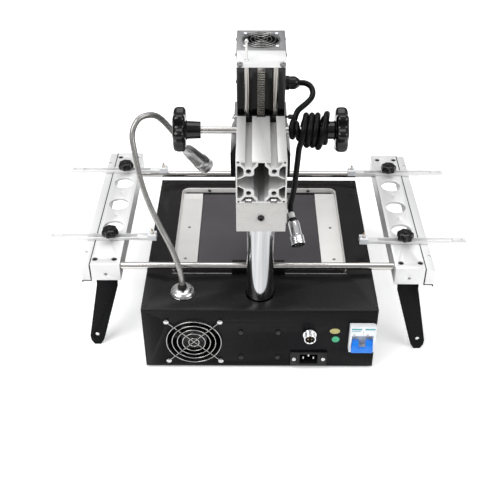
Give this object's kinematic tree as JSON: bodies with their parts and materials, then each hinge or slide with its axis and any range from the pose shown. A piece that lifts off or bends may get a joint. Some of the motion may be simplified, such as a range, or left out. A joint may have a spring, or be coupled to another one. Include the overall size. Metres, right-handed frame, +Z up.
{
  "type": "infrared reflow rework station",
  "caption": "Bench infrared reflow station: heated base, column with swinging arm, rack-driven upper heater head, board rails with clamp bars, handwheels and a gooseneck lamp.",
  "frame": {"origin": "centre of the footprint's bounding box on the table surface, head cable left out", "axes": "+X to the operator's right, +Z up, the sloping control panel faces -Y, the rear panel with its fan and inlet faces +Y"},
  "size_m": [0.589, 0.402, 0.4326],
  "materials": {
    "black_paint": "satin",
    "black_anodised": "satin",
    "black_plastic": "gloss",
    "chrome": "polished",
    "aluminium": "satin",
    "grey_aluminium": "matte",
    "stainless": "brushed",
    "heater_black": "matte",
    "grey_paint": "satin",
    "white_plastic": "satin",
    "blue_plastic": "gloss",
    "silver_panel": "satin",
    "board": "satin",
    "rubber": "matte",
    "ceramic": "matte",
    "yellow_plastic": "satin"
  },
  "bodies": {
    "base": {"base_tray": "black_paint", "deck_cover": "black_paint", "rear_panel": "black_paint", "control_panel": "silver_panel", "foot_rear_left": "rubber", "foot_rear_right": "rubber", "foot_front_left": "rubber", "foot_front_right": "rubber", "temperature_controller": "black_plastic", "probe_sockets": "yellow_plastic", "heater_tray": "stainless", "heater_panel": "heater_black", "column_socket": "grey_aluminium", "column_post": "chrome", "control_board": "board", "rear_fan_frame": "black_plastic", "power_inlet": "black_plastic", "cable_socket": "chrome", "breaker_body": "white_plastic", "lamp_flange": "chrome", "rod_rear": "chrome", "rod_front": "chrome", "rod_support_rear": "black_paint", "rod_support_front": "black_paint"},
    "button": {"start_button": "blue_plastic"},
    "rear_rotor": {"rear_fan_rotor": "black_plastic"},
    "breaker_switch": {"breaker_toggle": "blue_plastic"},
    "lamp": {"lamp_neck": "chrome", "lamp_head": "aluminium"},
    "arm": {"column_block": "grey_aluminium", "arm_profile": "aluminium", "slide_bearing": "black_anodised", "cable_lead": "rubber", "cable_coil": "rubber", "cable_tail": "rubber", "cable_plug": "chrome"},
    "drive": {"pinion_shaft": "stainless", "handwheel_left": "black_plastic", "handwheel_right": "black_plastic"},
    "head": {"slide_body": "black_anodised", "rack": "stainless", "top_plate": "aluminium", "head_housing": "grey_paint", "head_fan_frame": "black_plastic", "heater_hood": "black_paint", "upper_emitter": "ceramic", "cable_gland": "black_plastic"},
    "head_rotor": {"head_fan_rotor": "black_plastic"},
    "rail_right": {"rail_right": "aluminium", "leg_right": "black_paint"},
    "clamp_bar_rear_right": {"clamp_bar_rear_right": "aluminium"},
    "clamp_knob_rear_right": {"clamp_knob_rear_right": "black_plastic"},
    "clamp_bar_front_right": {"clamp_bar_front_right": "aluminium"},
    "clamp_knob_front_right": {"clamp_knob_front_right": "black_plastic"},
    "rail_left": {"rail_left": "aluminium", "leg_left": "black_paint"},
    "clamp_bar_rear_left": {"clamp_bar_rear_left": "aluminium"},
    "clamp_knob_rear_left": {"clamp_knob_rear_left": "black_plastic"},
    "clamp_bar_front_left": {"clamp_bar_front_left": "aluminium"},
    "clamp_knob_front_left": {"clamp_knob_front_left": "black_plastic"}
  },
  "joints": [
    {"name": "arm_swivel", "type": "hinge", "parent": "base", "child": "arm", "pos_m": [-0.0005, 0.1546, 0.25], "axis": [0, 0, 1], "range_deg": [-90, 0]},
    {"name": "head_lift", "type": "slide", "parent": "arm", "child": "head", "axis": [0, 0, 1], "range_m": [-0.055, 0.02], "deforming": ["cable_lead"]},
    {"name": "handwheel_spin", "type": "hinge", "parent": "arm", "child": "drive", "pos_m": [-0.0005, 0.085, 0.3165], "axis": [1, 0, 0], "range_deg": [-150, 400]},
    {"name": "head_fan_spin", "type": "hinge", "parent": "head", "child": "head_rotor", "pos_m": [-0.0005, 0.013, 0.398], "axis": [0, 0, 1], "continuous": true},
    {"name": "rear_fan_spin", "type": "hinge", "parent": "base", "child": "rear_rotor", "pos_m": [0.0887, 0.177, 0.0502], "axis": [0, 1, 0], "continuous": true},
    {"name": "breaker_flip", "type": "hinge", "parent": "base", "child": "breaker_switch", "pos_m": [-0.13795, 0.1935, 0.0572], "axis": [1, 0, 0], "range_deg": [0, 50]},
    {"name": "button_press", "type": "slide", "parent": "base", "child": "button", "axis": [0, 0.7568, -0.6536], "range_m": [0, 0.003], "stiffness_N_per_m": 300},
    {"name": "lamp_turn", "type": "hinge", "parent": "base", "child": "lamp", "pos_m": [0.1036, 0.1545, 0.121], "axis": [0, 0, 1], "range_deg": [0, 60]},
    {"name": "rail_right_slide", "type": "slide", "parent": "base", "child": "rail_right", "axis": [-1, 0, 0], "range_m": [0, 0.025]},
    {"name": "clamp_rear_right_slide", "type": "slide", "parent": "rail_right", "child": "clamp_bar_rear_right", "axis": [-1, 0, 0], "range_m": [-0.03, 0.045]},
    {"name": "knob_rear_right_turn", "type": "hinge", "parent": "rail_right", "child": "clamp_knob_rear_right", "pos_m": [0.2118, 0.06, 0.135], "axis": [0, 0, 1], "range_deg": [0, 270]},
    {"name": "clamp_front_right_slide", "type": "slide", "parent": "rail_right", "child": "clamp_bar_front_right", "axis": [-1, 0, 0], "range_m": [-0.03, 0.045]},
    {"name": "knob_front_right_turn", "type": "hinge", "parent": "rail_right", "child": "clamp_knob_front_right", "pos_m": [0.2118, -0.1195, 0.135], "axis": [0, 0, 1], "range_deg": [0, 270]},
    {"name": "rail_left_slide", "type": "slide", "parent": "base", "child": "rail_left", "axis": [1, 0, 0], "range_m": [0, 0.025]},
    {"name": "clamp_rear_left_slide", "type": "slide", "parent": "rail_left", "child": "clamp_bar_rear_left", "axis": [1, 0, 0], "range_m": [-0.03, 0.045]},
    {"name": "knob_rear_left_turn", "type": "hinge", "parent": "rail_left", "child": "clamp_knob_rear_left", "pos_m": [-0.2053, 0.0675, 0.135], "axis": [0, 0, 1], "range_deg": [0, 270]},
    {"name": "clamp_front_left_slide", "type": "slide", "parent": "rail_left", "child": "clamp_bar_front_left", "axis": [1, 0, 0], "range_m": [-0.03, 0.045]},
    {"name": "knob_front_left_turn", "type": "hinge", "parent": "rail_left", "child": "clamp_knob_front_left", "pos_m": [-0.2053, -0.113, 0.135], "axis": [0, 0, 1], "range_deg": [0, 270]}
  ],
  "couplings": [
    {"joint": "handwheel_spin", "follows": "head_lift", "rad_per_m": -125}
  ]
}
